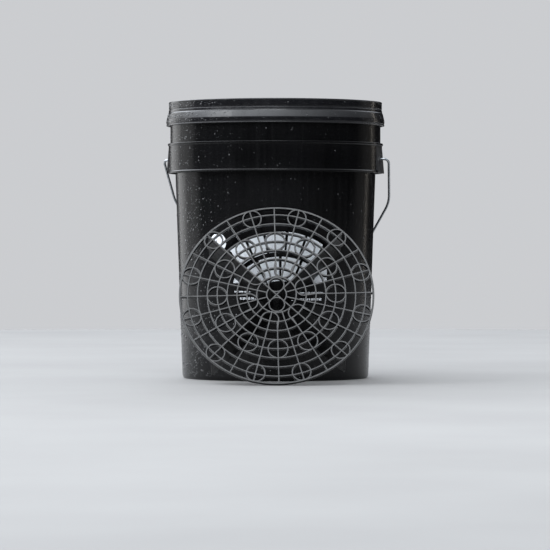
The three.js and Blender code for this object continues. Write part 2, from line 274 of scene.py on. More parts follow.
def united(name, solids, cuts=(), place=None, sharp=SHARP_ANGLE):
    """One solid from several, less the cuts. Each is a function that fills a bmesh."""

    def temporary(build, number):
        """One solid or cut, kept in millimetres."""
        bm = bmesh.new()
        build(bm)
        return finished(f"{name}_{number}", bm, Matrix.Scale(1 / MM, 4), sharp)

    parts = [temporary(build, i) for i, build in enumerate(solids)]
    base = parts[0]
    holes = [temporary(build, 1000 + i) for i, build in enumerate(cuts)]
    jobs = [("UNION", parts[1:]), ("DIFFERENCE", holes)]
    for operation, others in jobs:
        if not others:
            continue
        group = bpy.data.collections.new(f"{name}_{operation}")
        for other in others:
            group.objects.link(other)
        modifier = base.modifiers.new(operation, "BOOLEAN")
        modifier.solver = "MANIFOLD"
        modifier.operation = operation
        modifier.operand_type = "COLLECTION"
        modifier.collection = group
    bpy.context.view_layer.update()
    evaluated = base.evaluated_get(bpy.context.evaluated_depsgraph_get())
    bm = bmesh.new()
    bm.from_mesh(evaluated.to_mesh())
    for group in [c for c in bpy.data.collections if c.name.startswith(f"{name}_")]:
        bpy.data.collections.remove(group)
    for spare in [*parts, *holes]:
        bpy.data.meshes.remove(spare.data)
    bmesh.ops.remove_doubles(bm, verts=bm.verts, dist=1e-4)
    bmesh.ops.dissolve_degenerate(bm, edges=bm.edges, dist=1e-4)
    return finished(name, bm, place, sharp)


def dressed(obj, body, slot, material, *nodes):
    obj.data.materials.append(material)
    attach(obj, body)
    if nodes:
        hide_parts(*nodes)
    return obj


# ---------------------------------------------------------------- materials


def set_stops(ramp, stops):
    """Give a colour ramp these (position, colour) stops."""
    elements = ramp.elements
    while len(elements) < len(stops):
        elements.new(0.5)
    for element, (at, colour) in zip(elements, stops):
        element.position = at
        element.color = (*colour, 1)


class Nodes:
    """A node material with a Principled shader and short ways to add to it."""

    def __init__(self, name, colour, roughness, metallic=0.0, coat=0.0, gloss=0.5):
        self.material = bpy.data.materials.new(name)
        self.material.use_nodes = True
        self.tree = self.material.node_tree
        self.shader = self.tree.nodes["Principled BSDF"]
        self.shader.inputs["Base Color"].default_value = (*colour, 1)
        self.shader.inputs["Roughness"].default_value = roughness
        self.shader.inputs["Metallic"].default_value = metallic
        self.shader.inputs["Specular IOR Level"].default_value = gloss
        self.shader.inputs["Coat Weight"].default_value = coat
        self.shader.inputs["Coat Roughness"].default_value = 0.08
        self.place = self.tree.nodes.new("ShaderNodeTexCoord").outputs["Object"]

    def link(self, output, socket):
        self.tree.links.new(output, socket)

    def stretched(self, scale):
        mapping = self.tree.nodes.new("ShaderNodeMapping")
        mapping.inputs["Scale"].default_value = scale
        self.link(self.place, mapping.inputs["Vector"])
        return mapping.outputs["Vector"]

    def noise(self, scale, detail=3.0, stretch=(1, 1, 1), rough=0.5):
        noise = self.tree.nodes.new("ShaderNodeTexNoise")
        noise.inputs["Scale"].default_value = scale
        noise.inputs["Detail"].default_value = detail
        noise.inputs["Roughness"].default_value = rough
        self.link(self.stretched(stretch), noise.inputs["Vector"])
        return noise.outputs["Fac"]

    def ranged(self, value, low, high, start=0.0, end=1.0):
        node = self.tree.nodes.new("ShaderNodeMapRange")
        node.inputs["From Min"].default_value = start
        node.inputs["From Max"].default_value = end
        node.inputs["To Min"].default_value = low
        node.inputs["To Max"].default_value = high
        self.link(value, node.inputs["Value"])
        return node.outputs["Result"]

    def ramp(self, value, *stops):
        node = self.tree.nodes.new("ShaderNodeValToRGB")
        set_stops(node.color_ramp, stops)
        self.link(value, node.inputs["Fac"])
        return node.outputs["Color"]

    def mixed(self, factor, first, second):
        node = self.tree.nodes.new("ShaderNodeMix")
        node.data_type = "FLOAT"
        self.link(factor, node.inputs[0])
        self.link(first, node.inputs[2])
        self.link(second, node.inputs[3])
        return node.outputs[0]

    def colour(self, value):
        self.link(value, self.shader.inputs["Base Color"])

    def roughness(self, value):
        self.link(value, self.shader.inputs["Roughness"])

    def bump(self, height, strength, distance):
        node = self.tree.nodes.new("ShaderNodeBump")
        node.inputs["Strength"].default_value = strength
        node.inputs["Distance"].default_value = distance
        self.link(height, node.inputs["Height"])
        self.link(node.outputs["Normal"], self.shader.inputs["Normal"])


def shell_plastic():
    nodes = Nodes("shell_plastic", (0.003, 0.003, 0.0034), 0.24, gloss=0.24)
    streaks = nodes.noise(150, 4, (1, 1, 0.02), 0.65)
    clouds = nodes.noise(14, 4, (1, 1, 0.5))
    nodes.colour(nodes.ramp(clouds, (0.3, (0.0016, 0.0016, 0.0018)), (0.75, (0.0034, 0.0034, 0.0038))))
    smear = nodes.mixed(clouds, streaks, nodes.noise(700, 2))
    nodes.roughness(nodes.ranged(smear, 0.14, 0.3, 0.3, 0.7))
    nodes.bump(nodes.noise(90, 5, (1, 1, 0.06), 0.6), 0.12, 0.0008)
    return nodes.material


def lid_plastic():
    nodes = Nodes("lid_plastic", (0.014, 0.014, 0.016), 0.3)
    clouds = nodes.noise(22, 4)
    nodes.colour(nodes.ramp(clouds, (0.3, (0.0045, 0.0045, 0.0052)), (0.75, (0.0085, 0.0085, 0.01))))
    nodes.roughness(nodes.ranged(nodes.noise(120, 4), 0.13, 0.28, 0.3, 0.7))
    nodes.bump(nodes.noise(900, 2), 0.05, 0.0003)
    return nodes.material


def grained_plastic(name, dark, light, low, high, grain=1400, depth=0.25, gloss=0.5):
    nodes = Nodes(name, light, high, gloss=gloss)
    clouds = nodes.noise(35, 3)
    nodes.colour(nodes.ramp(clouds, (0.3, dark), (0.75, light)))
    nodes.roughness(nodes.ranged(nodes.noise(160, 3), low, high, 0.3, 0.7))
    nodes.bump(nodes.noise(grain, 3), depth, 0.0004)
    return nodes.material


def ear_plastic():
    dark, light = (0.006, 0.006, 0.007), (0.018, 0.018, 0.019)
    return grained_plastic("ear_plastic", dark, light, 0.34, 0.55, grain=700, depth=0.8)


def guard_plastic():
    dark, light = (0.004, 0.004, 0.0047), (0.0075, 0.0077, 0.0085)
    return grained_plastic("guard_plastic", dark, light, 0.28, 0.36, depth=0.1, gloss=0.42)


# Painted shade: the vanes get a darker, less glossy copy of the guard's plastic, because they stand in
# shade behind the grid.
def vane_plastic_painted_shade():
    dark, light = (0.002, 0.002, 0.0024), (0.004, 0.004, 0.0045)
    return grained_plastic("vane_plastic_painted_shade", dark, light, 0.3, 0.5, gloss=0.12)


def grip_plastic():
    dark, light = (0.012, 0.012, 0.013), (0.02, 0.02, 0.022)
    return grained_plastic("grip_plastic", dark, light, 0.35, 0.55)


def seal_rubber():
    dark, light = (0.02, 0.02, 0.02), (0.034, 0.034, 0.034)
    return grained_plastic("seal_rubber", dark, light, 0.7, 0.9, grain=600, depth=0.4)


def galvanised_wire():
    nodes = Nodes("galvanised_wire", (0.4, 0.42, 0.44), 0.28, 1.0)
    spangle = nodes.noise(260, 3)
    nodes.colour(nodes.ramp(spangle, (0.3, (0.27, 0.29, 0.31)), (0.7, (0.46, 0.48, 0.5))))
    nodes.roughness(nodes.ranged(nodes.noise(600, 3), 0.18, 0.42, 0.3, 0.7))
    nodes.bump(nodes.noise(1200, 2), 0.15, 0.0002)
    return nodes.material


def print_ink():
    nodes = Nodes("print_ink", (0.8, 0.83, 0.86), 0.32)
    wear = nodes.noise(320, 5, (1, 1, 0.4), 0.7)
    nodes.colour(nodes.ramp(wear, (0.28, (0.66, 0.7, 0.74)), (0.45, (0.92, 0.955, 0.99))))
    nodes.roughness(nodes.ranged(nodes.noise(200, 3), 0.25, 0.45, 0.3, 0.7))
    nodes.bump(nodes.noise(1500, 2), 0.08, 0.0002)
    return nodes.material


def water():
    nodes = Nodes("water_bead", (0.012, 0.0125, 0.014), 0.04, coat=1.0)
    nodes.roughness(nodes.ranged(nodes.noise(800, 2), 0.02, 0.09, 0.3, 0.7))
    return nodes.material


# ---------------------------------------------------------------- shell


def wall_radius(height):
    return FOOT_RADIUS + WALL_FLARE * height


def shell_body(bm):
    """Floor, foot, tapered wall, web, neck and rim, from the axis underneath to the axis inside."""
    floor_top = FOOT_HEIGHT + WALL
    inner = wall_radius(0) - WALL
    heights = [20 + i * 30 for i in range(10)]
    wall = [(wall_radius(z), z, 0) for z in heights]
    lining = [(wall_radius(z) - WALL, z, 0) for z in reversed(heights)]
    corners = [
        (0, 0, 0),
        (CENTRE_PAD_RADIUS, 0, 0.8),
        (CENTRE_PAD_RADIUS, FOOT_HEIGHT, 0.8),
        (FOOT_RING_INNER, FOOT_HEIGHT, 1),
        (FOOT_RING_INNER, 0, 0.8),
        (FOOT_RING_OUTER, 0, 1.2),
        (wall_radius(3.4), 3.4, 2.5),
        *wall,
        (wall_radius(COLLAR_WEB), COLLAR_WEB, 1.2),
        (NECK_RADIUS - 0.6, COLLAR_WEB, 0),
        (NECK_RADIUS, COLLAR_TOP, 1.0),
        (NECK_RADIUS, 359, 0.6),
        (RIM_BEAD_RADIUS, 360, 0.8),
        (RIM_BEAD_RADIUS, 363, 1.2),
        (RIM_RADIUS, 366, 0.8),
        (RIM_RADIUS, RIM_TOP, 0.9),
        (NECK_INNER, RIM_TOP, 0.9),
        (NECK_INNER, COLLAR_TOP + 3, 2),
        (wall_radius(COLLAR_WEB) - WALL, COLLAR_WEB - 4, 2),
        *lining,
        (inner, floor_top + 4, 3),
        (inner - 4, floor_top, 3),
        (0, floor_top, 0),
    ]
    lathe(bm, rounded(corners), closed=False)


def ear_face(height):
    return EAR_FACE_BOTTOM - EAR_FACE_SLOPE * (height - COLLAR_BOTTOM)


def collar_columns():
    """The collar's columns: (ear, t) across an ear's flat face, or (None, angle) round the rest."""
    half_angle = math.asin(EAR_HALF_WIDTH / COLLAR_RADIUS)
    columns = []
    edge = [EAR_HALF_WIDTH - 1.0, EAR_HALF_WIDTH - 0.4, EAR_HALF_WIDTH]
    flat = [*(-t for t in reversed(edge)), *range(-24, 25, 4), *edge]
    steps = 100
    for ear in (0, 1):
        turn = BAIL_TURN + ear * math.pi
        columns += [(turn, t) for t in flat]
        start = turn + half_angle
        span = math.pi - 2 * half_angle
        columns += [(None, start + span * i / steps) for i in range(steps + 1)]
    return columns


def collar(bm):
    """The thin band round the top of the wall, flattened into a leaning face at each bail ear."""
    corners = [
        (NECK_RADIUS - 0.9, COLLAR_TOP - 0.4, 0),
        (NECK_RADIUS - 0.9, COLLAR_WEB + 0.3, 0),
        (COLLAR_INNER, COLLAR_WEB + 0.3, 0.5),
        (COLLAR_INNER, COLLAR_BOTTOM, 0.4),
        (COLLAR_LIP_RADIUS, COLLAR_BOTTOM, 0.7),
        (COLLAR_LIP_RADIUS, COLLAR_BOTTOM + 2.4, 0.6),
        (COLLAR_RADIUS, COLLAR_BOTTOM + 3.1, 0.6),
        (COLLAR_RADIUS, COLLAR_WEB - 0.6, 0.4),
        (COLLAR_LIP_RADIUS, COLLAR_WEB + 0.2, 0.5),
        (COLLAR_LIP_RADIUS, COLLAR_TOP, 0.8),
    ]
    outline = rounded(corners)
    edge_round = {EAR_HALF_WIDTH: 0.7, EAR_HALF_WIDTH - 0.4: 0.2}
    columns = []
    for ear, place in collar_columns():
        column = []
        for radius, height in outline:
            if ear is None or height > COLLAR_WEB or radius < COLLAR_INNER - 0.3:
                angle = place if ear is None else ear + math.asin(place / radius)
                column.append((radius * math.cos(angle), radius * math.sin(angle), height))
                continue
            face = ear_face(height) - edge_round.get(abs(place), 0)
            inside = radius < COLLAR_INNER + 0.35
            distance = face - EAR_SKIN if inside else face
            column.append(
                (
                    distance * math.cos(ear) - place * math.sin(ear),
                    distance * math.sin(ear) + place * math.cos(ear),
                    height,
                )
            )
        columns.append([bm.verts.new(point) for point in column])
    skin(bm, columns, True)


def ear_cheek(ear, side):
    """A side wall of an ear's pocket, from the shell's wall out to the leaning face."""

    def build(bm):
        turn = Matrix.Rotation(BAIL_TURN + ear * math.pi, 4, "Z")
        near, far = sorted((side * (EAR_HALF_WIDTH - 0.4), side * (EAR_HALF_WIDTH - 2.9)))
        outline = [
            (EAR_CHEEK_START, COLLAR_BOTTOM + 0.4),
            (ear_face(COLLAR_BOTTOM) - 1, COLLAR_BOTTOM + 0.4),
            (ear_face(COLLAR_WEB) - 1, COLLAR_WEB + 0.4),
            (EAR_CHEEK_START, COLLAR_WEB + 0.4),
        ]
        rows = [[bm.verts.new(turn @ Vector((x, y, z))) for x, z in outline] for y in (near, far)]
        skin(bm, rows, False)
        bm.faces.new(reversed(rows[0]))
        bm.faces.new(rows[1])

    return build


def ear_hole(ear):
    def build(bm):
        turn = Matrix.Rotation(BAIL_TURN + ear * math.pi, 4, "Z")
        place = turn @ Matrix.Translation((148.5, 0, EAR_HEIGHT)) @ Matrix.Rotation(math.pi / 2, 4, "Y")
        pin(bm, EAR_HOLE_RADIUS, 13, 32, place)

    return build


def ear_boss(ear):
    """The raised eye round a bail hole."""

    def build(bm):
        face = ear_face(EAR_HEIGHT)
        corners = [
            (EAR_HOLE_RADIUS - 0.3, -1.5, 0),
            (6.6, -1.5, 0),
            (6.6, 0.75, 0.5),
            (EAR_HOLE_RADIUS - 0.3, 0.75, 0),
        ]
        lathe(bm, rounded(corners), 40)
        lean = math.atan(EAR_FACE_SLOPE)
        turn = Matrix.Rotation(BAIL_TURN + ear * math.pi, 4, "Z")
        place = turn @ Matrix.Translation((face, 0, EAR_HEIGHT))
        bm.transform(place @ Matrix.Rotation(math.pi / 2 - lean, 4, "Y"))

    return build


def collar_gusset(angle):
    """A thin web under the collar, from the wall to the collar's inner face."""

    def build(bm):
        turn = Matrix.Rotation(angle, 4, "Z")
        near, far, top = GUSSET_START, COLLAR_INNER + 0.4, COLLAR_WEB + 0.7
        outline = [(near, 300), (near + 1.4, 298), (far, 304), (far, top), (near, top)]
        rows = [[bm.verts.new(turn @ Vector((x, y, z))) for x, z in outline] for y in (-0.7, 0.7)]
        skin(bm, rows, False)
        bm.faces.new(reversed(rows[0]))
        bm.faces.new(rows[1])

    return build


def foot_rib(angle):
    def build(bm):
        low = (CENTRE_PAD_RADIUS - 1, -1, 1)
        high = (FOOT_RING_INNER + 1, 1, FOOT_HEIGHT + 0.6)
        block(bm, low, high, Matrix.Rotation(angle, 4, "Z"))

    return build


def foot_circle(bm):
    """A low ring under the floor, half way out between the centre pad and the foot ring."""
    inner, outer, top = 68, 70, FOOT_HEIGHT + 0.6
    lathe(bm, rounded([(inner, 1, 0.3), (outer, 1, 0.3), (outer, top, 0), (inner, top, 0)]), 160)


def gusset_angles():
    """Every fifteen degrees, leaving out those that would stand in an ear's pocket."""
    angles = [BAIL_TURN + math.radians(7.5 + 15 * i) for i in range(24)]
    return [a for a in angles if abs(math.remainder(a - BAIL_TURN, math.pi)) > EAR_CLEARANCE]


def make_shell(plastic):
    solids = [shell_body, collar, foot_circle]
    solids += [collar_gusset(angle) for angle in gusset_angles()]
    solids += [foot_rib(i * math.pi / 6) for i in range(12)]
    for ear in (0, 1):
        solids += [ear_cheek(ear, 1), ear_cheek(ear, -1), ear_boss(ear)]
    shell = united("shell", solids, [ear_hole(0), ear_hole(1)])
    dressed(shell, "bucket", "shell_plastic", plastic, "bucket_shell")
    return shell


def mark_ears(shell, material):
    """The two leaning faces have a coarser grain than the rest of the shell."""
    shell.data.materials.append(material)
    for ear in (0, 1):
        turn = BAIL_TURN + ear * math.pi
        out = Vector((math.cos(turn), math.sin(turn), 0))
        along = Vector((-math.sin(turn), math.cos(turn), 0))
        for face in shell.data.polygons:
            centre = face.center / MM
            across = abs(centre.dot(along))
            distance = centre.dot(out) - ear_face(centre.z)
            if across < EAR_HALF_WIDTH and distance > -1.2 and COLLAR_BOTTOM < centre.z < COLLAR_WEB:
                face.material_index = 1


# ---------------------------------------------------------------- adapter ring, lid and seals


def make_adapter_ring(plastic):
    corners = [
        # skirt, with a bead and a groove at its foot
        (148.8, RING_BOTTOM, 0.5),
        (152.6, RING_BOTTOM, 0.7),
        (152.6, 353.4, 0.5),
        (151.9, 353.8, 0.2),
        (151.9, 354.5, 0.2),
        (RING_RADIUS, 354.9, 0.5),
        # shoulder and crown, with a groove between them
        (RING_RADIUS, RING_SHOULDER_BOTTOM, 0.9),
        (RING_SHOULDER_RADIUS, RING_SHOULDER_TOP, 0.8),
        (149.5, 369.9, 0.5),
        (149.3, 373.6, 0.4),
        (148.5, 374.0, 0.15),
        (148.5, 374.8, 0.15),
        (RING_CROWN_RADIUS, 375.2, 0.3),
        (RING_CROWN_RADIUS, 383.2, 0.5),
        (149.3, 383.6, 0.3),
        # top, with a shallow sunk band
        (149.1, RING_TOP, 0.6),
        (146.0, RING_TOP, 0.4),
        (145.4, 384.3, 0.3),
        (141.0, 384.3, 0.3),
        (140.6, RING_TOP, 0.3),
        # seat and throat
        (SEAT_RADIUS, RING_TOP, 0.5),
        (SEAT_RADIUS, SEAT_HEIGHT, 0.5),
        (THROAT_RADIUS, SEAT_HEIGHT, 0.5),
        (THROAT_RADIUS, THROAT_BOTTOM, 0.5),
        (131.7, THROAT_BOTTOM, 0.5),
        (131.7, 374.8, 0.8),
        (140.1, 374.8, 0.8),
        (140.1, 382.3, 0.5),
        # plug wall, then the inside of the crown, the shoulder and the catch
        (142.0, 382.3, 0.4),
        (142.0, PLUG_BOTTOM, 0.5),
        (144.0, PLUG_BOTTOM, 0.6),
        (144.0, 381.5, 0.3),
        (147.0, 381.5, 0.4),
        (147.0, 372.6, 0.6),
        (150.9, 362.5, 0.6),
        (150.9, 357.6, 0.5),
        (148.8, 356, 0.5),
    ]

    def ring(bm):
        lathe(bm, rounded(corners))

    def thread(bm):
        helical_thread(bm, THROAT_RADIUS + 0.3, -1.6, 354.5)

    obj = united("adapter_ring_detail", [ring, thread])
    return dressed(obj, "bucket", "lid_plastic", plastic, "adapter_ring")


def helical_thread(bm, radius, depth, start, pitch=7.0, turns=2.2):
    """A thread ridge that stands `depth` out from a turned wall, thinning away at both ends."""
    steps = int(turns * 96)
    rings = []
    for i in range(steps + 1):
        t = i / steps
        angle = 2 * math.pi * turns * t
        taper = min(1.0, 14 * t, 14 * (1 - t))
        reach = depth * (0.02 + 0.98 * taper)
        height = start + pitch * turns * t
        bite = -math.copysign(0.5, depth)
        section = [(bite, -1.1), (reach, -0.45), (reach, 0.45), (bite, 1.1)]
        ring = []
        for out, up in section:
            r = radius + out
            ring.append(bm.verts.new((r * math.cos(angle), r * math.sin(angle), height + up)))
        rings.append(ring)
    skin(bm, rings, False)
    bm.faces.new(reversed(rings[0]))
    bm.faces.new(rings[-1])


def lid_cup(bm):
    """Threaded wall, flange and sunk floor, with two low rings moulded on the floor."""
    corners = [
        (0, LID_FLOOR_UNDERSIDE, 0),
        (LID_RECESS_RADIUS, LID_FLOOR_UNDERSIDE, 0.5),
        (LID_RECESS_RADIUS, LID_BOTTOM, 0.5),
        (LID_WALL_RADIUS, LID_BOTTOM, 0.7),
        (LID_WALL_RADIUS, LID_FLANGE_BOTTOM, 0.8),
        (LID_FLANGE_RADIUS, LID_FLANGE_BOTTOM, 0.5),
        (LID_FLANGE_RADIUS, LID_TOP, 1.0),
        (126.2, LID_TOP, 0.5),
        (125.6, LID_TOP - 0.6, 0.3),
        (LID_RECESS_RADIUS, LID_TOP - 0.6, 1.0),
        (LID_RECESS_RADIUS, LID_FLOOR, 2.0),
    ]
    for outer in (96, 52):
        corners += [
            (outer, LID_FLOOR, 0.3),
            (outer - 0.6, LID_FLOOR + 0.7, 0.3),
            (outer - 3.0, LID_FLOOR + 0.7, 0.3),
            (outer - 3.6, LID_FLOOR, 0.3),
        ]
    corners.append((0, LID_FLOOR, 0))
    lathe(bm, rounded(corners), closed=False)


def lid_bar(angle):
    """A grip bar with rounded upper edges and drafted sides."""

    def build(bm):
        end = LID_RECESS_RADIUS + 0.4
        points = [Vector((-end, 0)), Vector((end, 0))]
        strip(bm, points, LID_BAR_WIDTH, LID_FLOOR - 1, LID_BAR_TOP, chamfer=1.3, draft=-0.8)
        bm.transform(Matrix.Rotation(angle, 4, "Z"))

    return build


def lid_hub(bm):
    corners = [
        (0, LID_FLOOR - 1, 0),
        (LID_HUB_RADIUS, LID_FLOOR - 1, 0),
        (LID_HUB_RADIUS - 0.8, LID_BAR_TOP, 1.6),
        (16.5, LID_BAR_TOP, 0.6),
        (15.8, LID_BAR_TOP - 0.8, 0.4),
        (0, LID_BAR_TOP - 0.8, 0),
    ]
    lathe(bm, rounded(corners), 72, closed=False)


def lid_web(angle):
    """A low stiffening web across a quarter of the lid's recess."""

    def build(bm):
        points = [Vector((18, 0)), Vector((LID_RECESS_RADIUS + 0.5, 0))]
        strip(bm, points, 2.2, LID_FLOOR - 1, LID_FLOOR + 2.6, chamfer=0.5, draft=-0.2)
        bm.transform(Matrix.Rotation(angle, 4, "Z"))

    return build


def make_lid(plastic):
    def thread(bm):
        helical_thread(bm, LID_WALL_RADIUS - 0.3, 1.9, LID_BOTTOM + 2)

    webs = [lid_web(math.radians(30 + 30 * i + 30 * (i // 2))) for i in range(8)]
    solids = [lid_cup, lid_bar(0), lid_bar(math.pi / 2), lid_hub, thread, *webs]
    obj = united("screw_lid_detail", solids)
    return dressed(obj, "lid", "lid_plastic", plastic, "screw_lid")


# ---------------------------------------------------------------- bail


def bend(before, at, after, reach, steps):
    """Points round one corner of the bail."""
    start = at + (before - at).normalized() * reach
    end = at + (after - at).normalized() * reach
    points = []
    for k in range(steps + 1):
        t = k / steps
        points.append(start * (1 - t) ** 2 + at * 2 * t * (1 - t) + end * t * t)
    return points


def bail_place():
    turn = Matrix.Rotation(BAIL_TURN, 4, "Z") @ Matrix.Rotation(BAIL_REST_TILT, 4, "X")
    return Matrix.Translation((0, 0, EAR_HEIGHT)) @ turn


def bail_points():
    def place(across, out):
        return Vector((across, 0, -out))

    end = place(WIRE_START, 0)
    elbow = place(BAIL_HALF_WIDTH, 0)
    knee = place(BAIL_KNEE_ACROSS, BAIL_KNEE_OUT)
    shoulder = place(BAIL_CORNER_ACROSS, BAIL_REACH)
    middle = place(0, BAIL_REACH)
    half = [end]
    half += bend(end, elbow, knee, HOOK_BEND, 10)
    half += bend(elbow, knee, shoulder, KNEE_BEND, 10)
    half += bend(knee, shoulder, middle, CORNER_BEND, 12)
    half.append(middle)
    mirrored = [Vector((-p.x, p.y, p.z)) for p in reversed(half[:-1])]
    return half + mirrored


def make_wire(metal):
    """The bent wire, upset into a small head at each end behind its ear."""

    def bar(bm):
        tube(bm, bail_points(), WIRE_RADIUS, Vector((0, 1, 0)), 18)

    def head(side):
        def build(bm):
            corners = [(0, -1, 0), (3.0, -1, 0.4), (3.0, 0.8, 0.5), (0, 0.8, 0)]
            lathe(bm, rounded(corners), 24, closed=False)
            end = Matrix.Translation((side * (WIRE_START + 1), 0, 0))
            bm.transform(end @ Matrix.Rotation(math.pi / 2, 4, "Y"))

        return build

    obj = united("bail_wire_detail", [bar, head(1), head(-1)], place=bail_place())
    return dressed(obj, "bail", "galvanised_wire", metal, "bail_wire")


def make_grip(plastic):
    """A hollow moulded handle: ribbed barrel, flange at each end, and the wire's bore."""
    bm = bmesh.new()
    half = GRIP_LENGTH / 2
    flange = GRIP_FLANGE_RADIUS
    outer = [(flange, -half, 0), (flange, 3 - half, 0)]
    stations = 32
    for i in range(stations + 1):
        along = -1 + 2 * i / stations
        outer.append((GRIP_RADIUS - 1.6 * along * along, along * (half - 5), 1))
    outer += [(flange, half - 3, 0), (flange, half, 0)]
    ends = [(GRIP_BORE, -half, 0), (flange - 0.8, -half, 0)]
    outline = [*ends, *outer, (flange - 0.8, half, 0), (GRIP_BORE, half, 0)]
    around = 120
    columns = []
    for i in range(around):
        angle = 2 * math.pi * i / around
        flute = 0.35 * (1 + math.cos(20 * angle))
        column = []
        for radius, along, fluted in outline:
            r = radius - flute * fluted
            column.append(bm.verts.new((along, r * math.cos(angle), r * math.sin(angle))))
        columns.append(column)
    skin(bm, columns, True)
    place = bail_place() @ Matrix.Translation((0, 0, -BAIL_REACH))
    obj = finished("bail_grip_detail", bm, place)
    return dressed(obj, "grip", "grip_plastic", plastic, "bail_grip")


# ---------------------------------------------------------------- dirt guard


def guard_place():
    turn = Matrix.Rotation(math.pi / 2 - GUARD_LEAN, 4, "X") @ Matrix.Rotation(GUARD_ROLL, 4, "Z")
    return Matrix.Translation(GUARD_PLACE) @ turn


def polar(radius, degrees):
    angle = math.radians(degrees)
    return Vector((radius * math.cos(angle), radius * math.sin(angle)))


def guard_rib(points, width=GUARD_RIB, closed=False):
    def build(bm):
        strip(bm, points, width, -GUARD_THICKNESS, 0, closed)

    return build


def spoke_start(degrees):
    """Where a spoke begins: at the centre, an inner ring, a finger ring or a small arch."""
    from_horizontal = abs((degrees + 90) % 180 - 90)
    if from_horizontal == 45:
        return 0
    if degrees % 90 == 0 or from_horizontal in (30, 60):
        return 3.0 * GUARD_PITCH if degrees != 90 else 1.85 * GUARD_PITCH
    return GUARD_PITCH if from_horizontal == 15 else 1.9 * GUARD_PITCH


def arch_points(degrees):
    """A small arch open outward, where two neighbouring spokes meet on the second ring."""
    inner = 2 * GUARD_PITCH
    outer = 3.9 * GUARD_PITCH
    spread = 15
    left = polar(outer, degrees + spread)
    right = polar(outer, degrees - spread)
    centre = polar(inner + 0.9 * GUARD_PITCH, degrees)
    curve = []
    for i in range(13):
        turn = degrees + 90 + 15 * i
        curve.append(centre + polar(0.9 * GUARD_PITCH, turn))
    return [left, *curve, right]


def guard_solids():
    """Rim, rings, spokes, two rows of small circles, arches and the two finger rings."""
    rim = GUARD_RADIUS - GUARD_RIM_RIB / 2
    origin = Vector((0, 0))
    solids = [guard_rib(circle_points(origin, rim, 144), GUARD_RIM_RIB, True)]
    for ring in range(2, 10):
        solids.append(guard_rib(circle_points(origin, ring * GUARD_PITCH, 96 + 4 * ring), closed=True))
    for middle in (0, 180):
        arc = [polar(GUARD_PITCH, middle - 56 + 8 * i) for i in range(15)]
        solids.append(guard_rib(arc))
    for degrees in range(0, 360, 15):
        line = [polar(spoke_start(degrees), degrees), polar(rim, degrees)]
        solids.append(guard_rib(line))
    for degrees in range(15, 375, 30):
        centre = polar(GUARD_RADIUS - SMALL_CIRCLE - GUARD_RIB / 2, degrees)
        solids.append(guard_rib(circle_points(centre, SMALL_CIRCLE, 40), closed=True))
    for degrees in range(0, 360, 30):
        centre = polar(6 * GUARD_PITCH, degrees)
        solids.append(guard_rib(circle_points(centre, GUARD_PITCH, 40), closed=True))
    for degrees in range(15, 375, 60):
        solids.append(guard_rib(arch_points(degrees)))
    for side in (90, 270):
        centre = polar(FINGER_RING_OFFSET, side)
        solids.append(guard_rib(circle_points(centre, FINGER_RING_RADIUS, 40), closed=True))
    return solids


def finger_hole(side):
    def build(bm):
        centre = polar(FINGER_RING_OFFSET, side)
        pin(bm, FINGER_HOLE_RADIUS, 20, 40, Matrix.Translation((centre.x, centre.y, 0)))

    return build


def make_guard(plastic, vane_painted_shade):
    grid = united("guard_grid_detail", guard_solids(), [finger_hole(90), finger_hole(270)], guard_place())
    dressed(grid, "guard", "guard_plastic", plastic, "guard_grid")
    # Each vane takes the darker, duller material, which is painted shade.
    for corner in range(4):
        make_vane(corner, vane_painted_shade)


def make_vane(corner, plastic):
    """A deep vane behind one diagonal, thinner towards its free edge, with broken edges."""
    top = -GUARD_THICKNESS - 0.3
    outline = [
        (VANE_INNER, -GUARD_DEPTH + 1.2),
        (VANE_INNER + 1.2, -GUARD_DEPTH),
        (VANE_OUTER - VANE_CHAMFER, -GUARD_DEPTH),
        (VANE_OUTER, VANE_CHAMFER - GUARD_DEPTH),
        (VANE_OUTER, top),
        (VANE_INNER, top),
    ]
    bm = bmesh.new()
    rows = []
    middle = Vector(((VANE_INNER + VANE_OUTER) / 2, (top - GUARD_DEPTH) / 2))
    for side, inset in ((-1, 0.5), (-1, 0.0), (1, 0.0), (1, 0.5)):
        row = []
        for x, z in outline:
            half = 1.2 - 0.25 * (top - z) / (GUARD_DEPTH + top)
            px = x + math.copysign(inset, middle.x - x)
            pz = z + math.copysign(inset, middle.y - z)
            y = side * (half if inset else half - 0.4)
            row.append(bm.verts.new((px, y, pz)))
        rows.append(row)
    skin(bm, rows, False)
    bm.faces.new(reversed(rows[0]))
    bm.faces.new(rows[-1])
    turn = Matrix.Rotation(math.pi / 4 + corner * math.pi / 2, 4, "Z")
    obj = finished(f"guard_vane_{corner + 1}_detail", bm, guard_place() @ turn)
    dressed(obj, "guard", "guard_plastic", plastic, f"guard_vane_{corner + 1}")


# ---------------------------------------------------------------- printed mark and water beads


def fan_block(centre, inner, outer, start, end):
    """One block of the printed fan, as [x, z] corners; angles in degrees."""
    steps = 6
    turns = [math.radians(start + (end - start) * i / steps) for i in range(steps + 1)]
    near = [(centre[0] + inner * math.cos(a), centre[1] + inner * math.sin(a)) for a in turns]
    far = [(centre[0] + outer * math.cos(a), centre[1] + outer * math.sin(a)) for a in turns]
    return [*near, *reversed(far)]


def rules(rng, left, right, low, high):
    """A row of short printed rules between two ends."""
    shapes = []
    x = left
    while x < right:
        end = min(x + rng.uniform(2.5, 7.0), right)
        shapes.append([(x, low), (end, low), (end, high), (x, high)])
        x = end + rng.uniform(0.7, 1.3)
    return shapes


